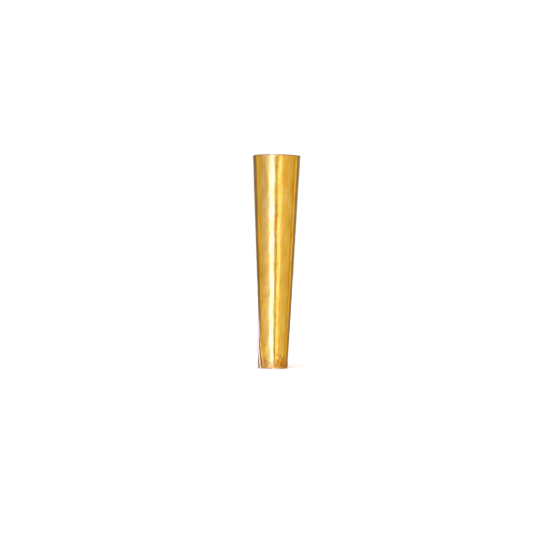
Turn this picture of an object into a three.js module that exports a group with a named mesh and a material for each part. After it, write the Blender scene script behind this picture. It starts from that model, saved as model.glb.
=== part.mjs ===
// A tapered brass slide for playing guitar, rolled from one blank of sheet brass.
//
// Millimetres, +Z up. The slide stands on its narrow rim, and the origin is the centre of that rim.
// The two long edges of the blank meet in a seam that faces -Y. Angles run around +Z from the middle
// of the seam, anticlockwise seen from above, so the blank's first edge is near 0 and its second edge
// is near a full turn.

import * as THREE from "three";

const length = 76;
const narrow_diameter = 10.2; // outside
const wide_diameter = 17.4; // outside
const wall_thickness = 0.5;

// The seam's edges part a little towards the wide end, and cross at the narrow end.
const seam_gap_wide_end = 0.3;
const edge_overlap = 2.4;
const edge_overlap_height = 10;

// Where they cross, the second edge stands off the cone and passes outside the first.
const edge_lift = 0.85;
const edge_lift_height = 26;
const edge_lift_arc = THREE.MathUtils.degToRad(100);

// At the wide end the second edge stops short of the rim.
const edge_step = 0.1;
const edge_step_height = 8;
const edge_step_arc = THREE.MathUtils.degToRad(30);

// The rings of facets crowd towards the narrow end, where the seam changes most.
const facets_around = 72;
const rings_along = 18;
const ring_crowding = 1.5;

const full_turn = 2 * Math.PI;

// 1 at the start of a stretch, falling smoothly to 0 at its end.
function fade(distance, stretch) {
  return 1 - THREE.MathUtils.smoothstep(distance, 0, stretch);
}

function outerRadius(height) {
  return THREE.MathUtils.lerp(narrow_diameter, wide_diameter, height / length) / 2;
}

// Negative where the edges cross.
function seamGap(height) {
  return (seam_gap_wide_end * height) / length - edge_overlap * fade(height, edge_overlap_height);
}

// Where a point of the blank goes when the blank is rolled up. The point is given as three shares:
// across the blank from its first edge, through the sheet from its outer face, and up its height.
function rolledUp(across, inward, up) {
  const flat_height = length * up ** ring_crowding;
  const half_gap_angle = seamGap(flat_height) / 2 / outerRadius(flat_height);
  const angle = THREE.MathUtils.lerp(half_gap_angle, full_turn - half_gap_angle, across);
  const to_second_edge = full_turn - half_gap_angle - angle;

  const step = fade(to_second_edge, edge_step_arc) * fade(length - flat_height, edge_step_height);
  const height = flat_height - edge_step * step;
  const lift = fade(to_second_edge, edge_lift_arc) * fade(flat_height, edge_lift_height);
  const radius = outerRadius(height) + edge_lift * lift - wall_thickness * inward;
  return new THREE.Vector3(radius * Math.sin(angle), -radius * Math.cos(angle), height);
}

// The blank is a unit box: X runs across it, Y through the sheet and Z up its height.
function rolledTubeGeometry() {
  const geometry = new THREE.BoxGeometry(1, 1, 1, facets_around, 1, rings_along);
  const points = geometry.attributes.position;
  const flat_point = new THREE.Vector3();
  for (let i = 0; i < points.count; i += 1) {
    flat_point.fromBufferAttribute(points, i).addScalar(0.5);
    const rolled_point = rolledUp(flat_point.x, flat_point.y, flat_point.z);
    points.setXYZ(i, rolled_point.x, rolled_point.y, rolled_point.z);
  }
  geometry.computeVertexNormals();
  return geometry;
}

const polished_brass = new THREE.MeshStandardMaterial({
  color: 0xdca83c,
  metalness: 1,
  roughness: 0.18,
});

const rolled_tube = new THREE.Mesh(rolledTubeGeometry(), polished_brass);
rolled_tube.name = "rolled_tube";

const guitar_slide = new THREE.Group();
guitar_slide.add(rolled_tube);

export default guitar_slide;
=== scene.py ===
"""A tapered brass guitar slide, rolled from one sheet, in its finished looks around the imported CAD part."""

import math

import bmesh
import bpy
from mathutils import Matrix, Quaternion, Vector, noise


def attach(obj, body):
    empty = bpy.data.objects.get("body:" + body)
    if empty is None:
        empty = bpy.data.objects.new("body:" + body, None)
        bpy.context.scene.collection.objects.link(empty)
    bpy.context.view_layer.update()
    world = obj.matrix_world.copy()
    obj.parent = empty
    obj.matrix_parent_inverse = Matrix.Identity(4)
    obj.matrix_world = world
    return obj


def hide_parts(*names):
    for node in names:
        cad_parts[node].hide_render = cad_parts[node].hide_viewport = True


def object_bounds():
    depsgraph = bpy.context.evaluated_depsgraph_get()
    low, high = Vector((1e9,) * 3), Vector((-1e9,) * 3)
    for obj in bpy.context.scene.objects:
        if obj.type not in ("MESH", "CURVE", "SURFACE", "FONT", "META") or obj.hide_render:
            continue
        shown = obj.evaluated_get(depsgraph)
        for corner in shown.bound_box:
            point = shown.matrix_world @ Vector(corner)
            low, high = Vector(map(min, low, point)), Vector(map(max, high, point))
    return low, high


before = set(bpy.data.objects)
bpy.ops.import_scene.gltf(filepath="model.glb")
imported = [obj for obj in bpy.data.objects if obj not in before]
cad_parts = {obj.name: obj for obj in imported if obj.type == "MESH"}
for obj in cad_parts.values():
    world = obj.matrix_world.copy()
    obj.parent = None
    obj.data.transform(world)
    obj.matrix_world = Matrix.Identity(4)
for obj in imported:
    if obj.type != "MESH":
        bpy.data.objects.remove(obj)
cad_low, cad_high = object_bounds()

MM = 0.001
FULL_TURN = 2 * math.pi


def mix(start, end, share):
    return start + (end - start) * share


def smoothstep(share):
    share = min(max(share, 0.0), 1.0)
    return share * share * (3 - 2 * share)


def fade(distance, stretch):
    """1 at the start of a stretch, falling smoothly to 0 at its end."""
    return 1 - smoothstep(distance / stretch)


def around(radius, angle, height):
    """A point at an angle round the tube's axis, from the middle of the seam, anticlockwise from above."""
    return Vector((radius * math.sin(angle), -radius * math.cos(angle), height))


# ---------------------------------------------------------------- the sheet, as the CAD part has it

LENGTH = cad_high.z - cad_low.z
CAD_POINTS = [vertex.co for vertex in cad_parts["rolled_tube"].data.vertices]
# The side of the cone that faces away from the seam is plain, so it gives the radii.
NEARLY = 0.01 * MM
BACK_POINTS = [point for point in CAD_POINTS if abs(point.x) < NEARLY and point.y > 0]
NARROW_RADII = sorted(point.y for point in BACK_POINTS if point.z < NEARLY)
NARROW_RADIUS = NARROW_RADII[-1]
WIDE_RADIUS = max(point.y for point in BACK_POINTS)
WALL = NARROW_RADII[-1] - NARROW_RADII[0]

# The seam's edges part a little towards the wide end, and cross at the narrow end.
SEAM_GAP_WIDE_END = 0.3 * MM
EDGE_OVERLAP = 2.4 * MM
EDGE_OVERLAP_HEIGHT = 10 * MM

# Where they cross, the second edge stands off the cone and passes outside the first.
EDGE_LIFT = 0.85 * MM
EDGE_LIFT_HEIGHT = 26 * MM
EDGE_LIFT_ARC = math.radians(100)

# At the wide end the second edge stops short of the rim.
EDGE_STEP = 0.1 * MM
EDGE_STEP_HEIGHT = 8 * MM
EDGE_STEP_ARC = math.radians(30)


def outer_radius(height):
    return mix(NARROW_RADIUS, WIDE_RADIUS, height / LENGTH)


def seam_gap(height):
    """Negative where the sheet's edges cross."""
    return SEAM_GAP_WIDE_END * height / LENGTH - EDGE_OVERLAP * fade(height, EDGE_OVERLAP_HEIGHT)


# ---------------------------------------------------------------- what rolling and cutting did to it

EDGE_ROUNDING = 0.11 * MM
RIM_TURN_IN = 0.03 * MM
RIM_TURN_HEIGHT = 1.3 * MM

# The shears left a burr inside the second edge, near the narrow rim.
EDGE_BURR = 0.2 * MM
EDGE_BURR_HEIGHT = 10 * MM
EDGE_BURR_ARC = math.radians(12)

# Each wave: depth, size round the tube, size along it, and a shift that makes it differ.
WAVES = [
    (0.12 * MM, 5 * MM, 13 * MM, Vector((0, 0, 0))),
    (0.07 * MM, 2.4 * MM, 4 * MM, Vector((5, 3, 1))),
    (0.025 * MM, 1.2 * MM, 1.6 * MM, Vector((2, 9, 6))),
]
# The narrow end is crumpled by one more, which fades out above it.
CRUMPLE = (0.1 * MM, 1.2 * MM, 1.2 * MM, Vector((1, 7, 4)))
CRUMPLE_HEIGHT = 5 * MM


def wave_dip(angle, height, wave):
    """Smooth noise on the tube's face, from 0 to the wave's depth."""
    depth, size_round, size_along, shift = wave
    place = around(outer_radius(height) / size_round, angle, height / size_along)
    return depth * (0.5 + 0.5 * noise.noise(place + shift))


def sheet_dip(angle, height):
    """How far the sheet's surface lies below the true cone at this place."""
    dip = sum(wave_dip(angle, height, wave) for wave in WAVES)
    dip += wave_dip(angle, height, CRUMPLE) * fade(height, CRUMPLE_HEIGHT)
    dip += RIM_TURN_IN * fade(height, RIM_TURN_HEIGHT)
    return dip


# ---------------------------------------------------------------- the rolled tube's mesh

AROUND = 250
ALONG = 176
ROUNDING_ROWS = 4


def spaced(count, span):
    """Places across a span, from 0 to span, evenly but with extra rows in the rounding at each end."""
    turns = [math.pi / 2 * i / ROUNDING_ROWS for i in range(ROUNDING_ROWS)]
    rows = [EDGE_ROUNDING * (1 - math.cos(turn)) for turn in turns]
    inner = count - 2 * ROUNDING_ROWS
    middle = [EDGE_ROUNDING + (span - 2 * EDGE_ROUNDING) * i / inner for i in range(inner + 1)]
    return rows + middle + [span - row for row in reversed(rows)]


def rounding(from_side, from_rim):
    """How far the face drops towards a rounded edge, from its distances to the nearest side and rim."""
    across = max(EDGE_ROUNDING - from_side, 0)
    along = max(EDGE_ROUNDING - from_rim, 0)
    left = max(EDGE_ROUNDING ** 2 - across ** 2 - along ** 2, 0)
    return EDGE_ROUNDING - math.sqrt(left)


def rolled_point(across, flat_height, inward):
    """Where a point of the blank goes when it is rolled up. across is its distance from the first edge,
    as a share of the whole, and inward is its depth below the outer face."""
    half_gap_angle = seam_gap(flat_height) / 2 / outer_radius(flat_height)
    angle = mix(half_gap_angle, FULL_TURN - half_gap_angle, across)
    to_second_edge = FULL_TURN - half_gap_angle - angle
    step = fade(to_second_edge, EDGE_STEP_ARC) * fade(LENGTH - flat_height, EDGE_STEP_HEIGHT)
    height = flat_height - EDGE_STEP * step
    lift = fade(to_second_edge, EDGE_LIFT_ARC) * fade(flat_height, EDGE_LIFT_HEIGHT)
    burr = fade(to_second_edge, EDGE_BURR_ARC) * fade(flat_height, EDGE_BURR_HEIGHT)
    depth = inward * (1 + EDGE_BURR / WALL * burr)
    radius = outer_radius(height) + EDGE_LIFT * lift - sheet_dip(angle, height) - depth
    return around(radius, angle, height)


def add_face_points(mesh, to_cut, is_inner):
    """The points of the sheet's outer or inner face, in rows from the narrow rim up."""
    blank_width = math.pi * (NARROW_RADIUS + WIDE_RADIUS)
    sides = spaced(AROUND, blank_width)
    grid = []
    for height in spaced(ALONG, LENGTH):
        from_rim = min(height, LENGTH - height)
        row = []
        for side in sides:
            from_side = min(side, blank_width - side)
            drop = rounding(from_side, from_rim)
            inward = WALL - drop if is_inner else drop
            vertex = mesh.verts.new(rolled_point(side / blank_width, height, inward))
            vertex[to_cut] = min(from_side, from_rim) / MM
            row.append(vertex)
        grid.append(row)
    return grid


def rolled_tube_mesh():
    mesh = bmesh.new()
    to_cut = mesh.verts.layers.float.new("to_cut_edge")
    outer = add_face_points(mesh, to_cut, is_inner=False)
    inner = add_face_points(mesh, to_cut, is_inner=True)
    row_gaps = range(len(outer) - 1)
    side_gaps = range(len(outer[0]) - 1)
    for j in row_gaps:
        for i in side_gaps:
            mesh.faces.new((outer[j][i], outer[j][i + 1], outer[j + 1][i + 1], outer[j + 1][i]))
            mesh.faces.new((inner[j][i], inner[j + 1][i], inner[j + 1][i + 1], inner[j][i + 1]))
    for i in side_gaps:
        mesh.faces.new((outer[0][i + 1], outer[0][i], inner[0][i], inner[0][i + 1]))
        mesh.faces.new((outer[-1][i], outer[-1][i + 1], inner[-1][i + 1], inner[-1][i]))
    for j in row_gaps:
        mesh.faces.new((outer[j][0], outer[j + 1][0], inner[j + 1][0], inner[j][0]))
        mesh.faces.new((outer[j + 1][-1], outer[j][-1], inner[j][-1], inner[j + 1][-1]))
    data = bpy.data.meshes.new("slide_tube")
    mesh.to_mesh(data)
    mesh.free()
    data.shade_smooth()
    return data


# ---------------------------------------------------------------- node trees in few words


class Tree:
    """Adds nodes to a node tree, each with its settings and what feeds its inputs."""

    def __init__(self, tree):
        self.tree = tree
        tree.nodes.clear()

    def add(self, kind, feeds=None, **settings):
        node = self.tree.nodes.new("ShaderNode" + kind)
        for name, value in settings.items():
            setattr(node, name, value)
        for name, value in (feeds or {}).items():
            if isinstance(value, bpy.types.NodeSocket):
                self.tree.links.new(value, node.inputs[name])
            else:
                node.inputs[name].default_value = value
        return node

    def math(self, operation, *values):
        return self.add("Math", dict(enumerate(values)), operation=operation).outputs[0]

    def product(self, first, second):
        return self.math("MULTIPLY", first, second)

    def total(self, first, second):
        return self.math("ADD", first, second)

    def larger(self, first, second):
        return self.math("MAXIMUM", first, second)

    def vector(self, operation, first, second):
        return self.add("VectorMath", {0: first, 1: second}, operation=operation).outputs[0]

    def ramp(self, value, low, high, start=0.0, end=1.0):
        """start where the value is low, end where it is high, and smooth between."""
        feeds = {"Value": value, "From Min": low, "From Max": high, "To Min": start, "To Max": end}
        return self.add("MapRange", feeds, interpolation_type="SMOOTHSTEP").outputs["Result"]

    def mixed(self, share, first, second):
        """The first colour where the share is 0, and the second where it is 1."""
        return self.add("Mix", {0: share, 6: first, 7: second}, data_type="RGBA").outputs[2]


class SheetTree(Tree):
    """A material's tree that knows where on the sheet a point is. Its measures are in millimetres."""

    def __init__(self, tree):
        super().__init__(tree)
        metres = self.add("TexCoord").outputs["Object"]
        self.place = self.vector("MULTIPLY", metres, (1 / MM,) * 3)
        self.height = self.add("SeparateXYZ", {"Vector": self.place}).outputs["Z"]
        self.to_cut = self.add("Attribute", attribute_name="to_cut_edge").outputs["Fac"]

    def noise(self, size_round, size_along, detail, shift=0):
        """Noise from 0 to 1, of these sizes round and along the tube. Each shift gives another pattern."""
        sizes = (size_round, size_round, size_along)
        scaled = self.vector("MULTIPLY", self.place, [1 / size for size in sizes])
        moved = self.vector("ADD", scaled, (shift,) * 3)
        return self.add("TexNoise", {"Vector": moved, "Scale": 1.0, "Detail": detail}).outputs["Fac"]


# ---------------------------------------------------------------- brass

BRASS = (0.87, 0.515, 0.098, 1)
PALE_BRASS = (0.88, 0.58, 0.17, 1)
DEEP_BRASS = (0.78, 0.40, 0.06, 1)
SCUFFED_BRASS = (0.92, 0.66, 0.38, 1)
BROWN_TARNISH = (0.30, 0.15, 0.07, 1)
ORANGE_TARNISH = (0.75, 0.30, 0.02, 1)
WORN_BRASS = (0.93, 0.72, 0.36, 1)
# Pale bare cut faces, partly a painted highlight: the tint makes their reflection of the key light read
# white.
PALE_CUT_AND_HIGHLIGHT = (0.97, 0.92, 0.80, 1)

WELL_POLISHED = 0.08
SMEARED = 0.18
BROWN_ADDS = 0.25
SCUFFED_ROUGHNESS = 0.35
FILED_ROUGHNESS = 0.38
KNOCKED_ROUGHNESS = 0.42
CUT_ROUGHNESS = 0.45

# Each mark below is full at its first height above the narrow rim and gone at its second.
WORN_HEIGHTS = (0.6, 0.9)
KNOCKED_HEIGHTS = (2.0, 3.6)
# The pale cut faces, partly a painted highlight, are full below the first height and gone above the second.
PALE_CUT_AND_HIGHLIGHT_HEIGHTS = (14.0, 28.0)
# The filed band starts at the first of these heights, and is full from the second up.
FILED_HEIGHTS = (LENGTH / MM - 1.0, LENGTH / MM - 0.5)

# The deepest orange stain: the angle round the tube and the height of its middle, and its half sizes.
STAIN_ANGLE = math.radians(110)
STAIN_HEIGHT = 2.3 * MM
STAIN_HALF_WIDTH = 0.8 * MM
STAIN_HALF_HEIGHT = 1.7 * MM

# Relief, in steps of a hundredth of a millimetre.
RELIEF_STEP = 0.01 * MM
PEEL_RELIEF = 2.4
LINE_RELIEF = 0.26
STREAK_RELIEF = 1.6
DENT_RELIEF = 6.0


def polished_colour(tree):
    """Polishing has left paler and deeper patches, drawn out along the tube."""
    cloud = tree.noise(2.5, 7.0, detail=4)
    colour = tree.mixed(tree.ramp(cloud, 0.5, 0.72), BRASS, PALE_BRASS)
    return tree.mixed(tree.ramp(cloud, 0.5, 0.3), colour, DEEP_BRASS)


def streaked(tree, colour, streak):
    """The drawing of the sheet shows as faint streaks along the tube, some broad and some fine."""
    colour = tree.mixed(tree.ramp(streak, 0.52, 0.72, 0.0, 0.6), colour, DEEP_BRASS)
    fine_streak = tree.noise(0.45, 12.0, detail=2, shift=80)
    colour = tree.mixed(tree.ramp(fine_streak, 0.5, 0.68, 0.0, 0.7), colour, DEEP_BRASS)
    return tree.mixed(tree.ramp(fine_streak, 0.5, 0.32, 0.0, 0.7), colour, PALE_BRASS)


def scuffs(tree):
    """Small pale scuffs cross the tube here and there."""
    return tree.ramp(tree.noise(2.2, 1.1, detail=5, shift=70), 0.66, 0.78, 0.0, 0.8)


def tarnished_end(tree):
    """Tarnish reaches a few millimetres up from the narrow rim, further on one side."""
    reach = tree.math("MULTIPLY_ADD", tree.noise(3.5, 3.5, detail=1, shift=2), 9.0, -0.5)
    return tree.ramp(tree.math("DIVIDE", tree.height, reach), 0.45, 1.25, 1.0, 0.0)


def orange_stain(tree, blotch):
    """One larger stain at the narrow end, with a ragged outline."""
    middle = around(outer_radius(STAIN_HEIGHT), STAIN_ANGLE, STAIN_HEIGHT)
    half_sizes = (STAIN_HALF_WIDTH, STAIN_HALF_WIDTH, STAIN_HALF_HEIGHT)
    away = tree.vector("SUBTRACT", tree.place, middle / MM)
    away = tree.vector("MULTIPLY", away, [MM / size for size in half_sizes])
    distance = tree.add("VectorMath", {0: away}, operation="LENGTH").outputs["Value"]
    ragged = tree.total(distance, tree.math("MULTIPLY_ADD", blotch, 2.4, -1.2))
    return tree.ramp(ragged, 0.6, 1.3, 0.95, 0.0)


def browning(tree, tarnished, knocked):
    # The tarnish is grainy, and sits in the dents.
    grain = tree.noise(0.6, 0.6, detail=3, shift=9)
    brown = tree.product(tree.ramp(grain, 0.5, 0.66, 0.0, 0.75), tarnished)
    brown = tree.larger(brown, tree.product(tree.ramp(grain, 0.42, 0.62, 0.0, 0.7), knocked))

    # There are a few specks anywhere.
    speck = tree.noise(0.7, 1.0, detail=2, shift=15)
    brown = tree.larger(brown, tree.ramp(speck, 0.70, 0.77, 0.0, 0.8))

    # The strip beside each edge is darkened to brown, further in at some places.
    brown = tree.larger(brown, tree.ramp(tree.to_cut, 0.1, 0.4, 0.8, 0.0))
    further = tree.ramp(tree.noise(1.4, 1.4, detail=2, shift=27), 0.4, 0.65, 0.0, 0.7)
    return tree.larger(brown, tree.product(further, tree.ramp(tree.to_cut, 0.3, 0.9, 1.0, 0.0)))


def worn_rim(tree):
    """The narrow rim is worn bright in places, where it has been knocked."""
    by_edge = tree.ramp(tree.to_cut, 0.2, 0.45, 0.85, 0.0)
    by_rim = tree.product(by_edge, tree.ramp(tree.height, *WORN_HEIGHTS, 1.0, 0.0))
    return tree.product(by_rim, tree.ramp(tree.noise(1.8, 1.8, detail=3, shift=90), 0.42, 0.56))


def sheet_roughness(tree, brown, at_cut, scuffed, knocked):
    smear = tree.noise(1.6, 6.0, detail=3, shift=21)
    roughness = tree.ramp(smear, 0.3, 0.75, WELL_POLISHED, SMEARED)
    roughness = tree.total(roughness, tree.product(brown, BROWN_ADDS))
    roughness = tree.larger(roughness, tree.product(at_cut, CUT_ROUGHNESS))
    roughness = tree.larger(roughness, tree.product(scuffed, SCUFFED_ROUGHNESS))
    roughness = tree.larger(roughness, tree.product(knocked, KNOCKED_ROUGHNESS))
    return tree.larger(roughness, tree.ramp(tree.height, *FILED_HEIGHTS, 0.0, FILED_ROUGHNESS))


def sheet_relief(tree, streak, battered):
    """Orange peel, drawn lines and streaks are everywhere, and dents in the battered narrow end."""
    peel = tree.noise(0.9, 1.3, detail=3, shift=30)
    lines = tree.noise(0.14, 9.0, detail=2, shift=40)
    dents = tree.product(tree.noise(0.6, 0.6, detail=2, shift=50), battered)
    relief = tree.total(tree.product(peel, PEEL_RELIEF), tree.product(lines, LINE_RELIEF))
    relief = tree.total(relief, tree.product(streak, STREAK_RELIEF))
    relief = tree.total(relief, tree.product(dents, DENT_RELIEF))
    return tree.add("Bump", {"Height": relief, "Strength": 1.0, "Distance": RELIEF_STEP}).outputs[0]


def polished_brass():
    material = bpy.data.materials.new("polished_brass")
    material.use_nodes = True
    tree = SheetTree(material.node_tree)
    streak = tree.noise(0.8, 16.0, detail=3, shift=60)
    blotch = tree.noise(0.9, 0.9, detail=3, shift=4)
    scuffed = scuffs(tree)
    tarnished = tarnished_end(tree)
    knocked = tree.ramp(tree.height, *KNOCKED_HEIGHTS, 1.0, 0.0)
    brown = browning(tree, tarnished, knocked)

    # The sheared faces of the sheet are bare and pale where they stand clear at the narrow end. Their pale
    # tint also turns their reflection of the key light white, so it is partly a painted highlight.
    at_cut = tree.ramp(tree.to_cut, 0.01, 0.09, 1.0, 0.0)
    bare_and_highlight = tree.product(at_cut, tree.ramp(tree.height, *PALE_CUT_AND_HIGHLIGHT_HEIGHTS, 1.0, 0.0))

    colour = streaked(tree, polished_colour(tree), streak)
    colour = tree.mixed(scuffed, colour, SCUFFED_BRASS)
    colour = tree.mixed(tree.product(tree.ramp(blotch, 0.45, 0.6), tarnished), colour, ORANGE_TARNISH)
    colour = tree.mixed(orange_stain(tree, blotch), colour, ORANGE_TARNISH)
    colour = tree.mixed(brown, colour, BROWN_TARNISH)
    colour = tree.mixed(worn_rim(tree), colour, WORN_BRASS)
    # The pale cut faces, partly a painted highlight.
    colour = tree.mixed(bare_and_highlight, colour, PALE_CUT_AND_HIGHLIGHT)

    shader = tree.add("BsdfPrincipled", {
        "Base Color": colour,
        "Metallic": 1.0,
        "Roughness": sheet_roughness(tree, brown, at_cut, scuffed, knocked),
        "Normal": sheet_relief(tree, streak, tree.larger(tarnished, knocked)),
    })
    tree.add("OutputMaterial", {"Surface": shader.outputs[0]})
    return material


def add_tube():
    tube = bpy.data.objects.new("slide_tube", rolled_tube_mesh())
    bpy.context.scene.collection.objects.link(tube)
    tube.data.materials.append(polished_brass())
    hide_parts("rolled_tube")
    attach(tube, "root")


# ---------------------------------------------------------------- light

CAMERA_AZIMUTH = math.radians(72)

WHITE = (1, 1, 1)
SKY = (0.8, 0.88, 1.9)
COOL = (0.93, 1, 1.3)
CREAM = (1, 0.93, 0.62)
AMBER = (1, 0.83, 0.15)
UMBER = (1, 0.95, 1.25)

# The studio round the slide: how bright it is at each bearing from the camera, in degrees, positive
# to the camera's right, and in what colour. Apart from the table's glow, it is the same at any height.
STUDIO = [
    (-180, 1.6, WHITE),
    (-170, 1.6, WHITE),
    (-160, 0.7, WHITE),
    (-148, 0.28, UMBER),
    (-120, 0.27, UMBER),
    (-110, 0.85, AMBER),
    (-102, 0.85, AMBER),
    (-94, 0.64, CREAM),
    (-78, 0.68, WHITE),
    (-62, 0.74, COOL),
    (-48, 0.95, COOL),
    (-38, 1.35, SKY),
    (-32, 2.5, SKY),
    (-26, 4.0, SKY),
    (-14, 4.0, SKY),
    (-8, 1.4, SKY),
    (-2, 1.0, CREAM),
    (3, 0.55, WHITE),
    (7, 0.6, WHITE),
    (14, 1.6, WHITE),
    (25, 1.6, WHITE),
    (33, 1.0, CREAM),
    (60, 0.85, CREAM),
    (88, 0.78, CREAM),
    (96, 0.6, AMBER),
    (103, 0.6, AMBER),
    (108, 1.05, AMBER),
    (114, 1.05, AMBER),
    (121, 0.34, UMBER),
    (148, 0.34, UMBER),
    (160, 0.7, WHITE),
    (170, 1.6, WHITE),
]
# A ramp's colours stay under 1, so they are shares of this brightness.
BRIGHTEST = 8.1

# The white table also glows from low on the left, where it isn't hidden. The glow starts and ends at
# the outer two bearings, and is full between the inner two.
TABLE_GLOW = (0.30, 0.30, 0.22, 1)
GLOW_BEARINGS = (-112, -92, -52, -36)
GLOW_ELEVATIONS = (-11, -1)

OVERHEAD_STRENGTH = 1.2
OVERHEAD_SPREAD = math.radians(70)


def studio_bands(tree, bearing):
    """The studio's light, as a ramp all the way round."""
    share = tree.add("MapRange", {"Value": bearing, "From Min": -math.pi, "From Max": math.pi})
    ramp = tree.add("ValToRGB", {"Fac": share.outputs["Result"]})
    stops = ramp.color_ramp.elements
    stops.remove(stops[1])
    for k, (degrees, brightness, tint) in enumerate(STUDIO):
        position = 0.5 + degrees / 360
        stop = stops[0] if k == 0 else stops.new(position)
        stop.position = position
        stop.color = (*(brightness / BRIGHTEST * part for part in tint), 1)
    return tree.add("Background", {"Color": ramp.outputs["Color"], "Strength": BRIGHTEST}).outputs[0]


def table_glow(tree, bearing, upward):
    starts, full_from, full_to, ends = (math.radians(degrees) for degrees in GLOW_BEARINGS)
    lowest, highest = (math.sin(math.radians(degrees)) for degrees in GLOW_ELEVATIONS)
    glow = tree.product(tree.ramp(bearing, starts, full_from), tree.ramp(bearing, full_to, ends, 1.0, 0.0))
    glow = tree.product(glow, tree.ramp(upward, lowest, highest, 1.0, 0.0))
    return tree.add("Background", {"Color": TABLE_GLOW, "Strength": glow}).outputs[0]


def add_studio():
    """A world that lights the slide as a studio does, and that the camera sees as plain white."""
    world = bpy.data.worlds.new("studio")
    bpy.context.scene.world = world
    world.use_nodes = True
    tree = Tree(world.node_tree)
    turn = {"Vector": tree.add("TexCoord").outputs["Generated"], "Angle": -CAMERA_AZIMUTH}
    turned = tree.add("VectorRotate", turn, rotation_type="Z_AXIS")
    parts = tree.add("SeparateXYZ", {"Vector": turned.outputs[0]}).outputs
    bearing = tree.math("ARCTAN2", parts["X"], tree.product(parts["Y"], -1.0))
    bands = studio_bands(tree, bearing)
    mirrored = tree.add("AddShader", {0: bands, 1: table_glow(tree, bearing, parts["Z"])})
    seen = tree.add("Background", {"Color": (1, 1, 1, 1), "Strength": 1.0})
    from_camera = tree.add("LightPath").outputs["Is Camera Ray"]
    shown = tree.add("MixShader", {0: from_camera, 1: mirrored.outputs[0], 2: seen.outputs[0]})
    tree.add("OutputWorld", {"Surface": shown.outputs[0]})


def add_overhead_light():
    data = bpy.data.lights.new("overhead", "SUN")
    data.energy = OVERHEAD_STRENGTH
    data.angle = OVERHEAD_SPREAD
    light = bpy.data.objects.new("overhead", data)
    light.visible_glossy = False
    bpy.context.scene.collection.objects.link(light)


# ---------------------------------------------------------------- floor and camera

FLOOR_RADIUS = 3
FLOOR_COLOUR = (0.9, 0.9, 0.9, 1)
FLOOR_ROUGHNESS = 0.9

CAMERA_DISTANCE = 520 * MM
CAMERA_ROLL = math.radians(0.78)
SENSOR = 36
# In the picture the slide is 40 percent of the height, and a little right of and above the middle.
SHARE_OF_HEIGHT = 0.398
OFF_MIDDLE = (0.0162, 0.0086)


def add_floor():
    bpy.ops.mesh.primitive_circle_add(vertices=96, radius=FLOOR_RADIUS, fill_type="NGON")
    floor = bpy.context.object
    floor.name = "floor"
    floor.visible_glossy = False
    material = bpy.data.materials.new("pale_floor")
    material.use_nodes = True
    shader = material.node_tree.nodes["Principled BSDF"]
    shader.inputs["Base Color"].default_value = FLOOR_COLOUR
    shader.inputs["Roughness"].default_value = FLOOR_ROUGHNESS
    shader.inputs["Specular IOR Level"].default_value = 0
    floor.data.materials.append(material)


def add_camera():
    data = bpy.data.cameras.new("camera")
    data.sensor_width = SENSOR
    field = LENGTH / SHARE_OF_HEIGHT
    data.lens = SENSOR * CAMERA_DISTANCE / field
    camera = bpy.data.objects.new("camera", data)
    bpy.context.scene.collection.objects.link(camera)
    bpy.context.scene.camera = camera
    towards = Vector((math.sin(CAMERA_AZIMUTH), -math.cos(CAMERA_AZIMUTH), 0))
    right = Vector((math.cos(CAMERA_AZIMUTH), math.sin(CAMERA_AZIMUTH), 0))
    middle = Vector((0, 0, LENGTH / 2))
    camera.location = middle + towards * CAMERA_DISTANCE
    aim = middle - right * field * OFF_MIDDLE[0] - Vector((0, 0, field * OFF_MIDDLE[1]))
    camera.rotation_mode = "QUATERNION"
    facing = (aim - camera.location).to_track_quat("-Z", "Y")
    camera.rotation_quaternion = facing @ Quaternion((0, 0, 1), CAMERA_ROLL)


add_tube()
add_floor()
add_studio()
add_overhead_light()
add_camera()
bpy.context.scene.view_settings.view_transform = "Standard"
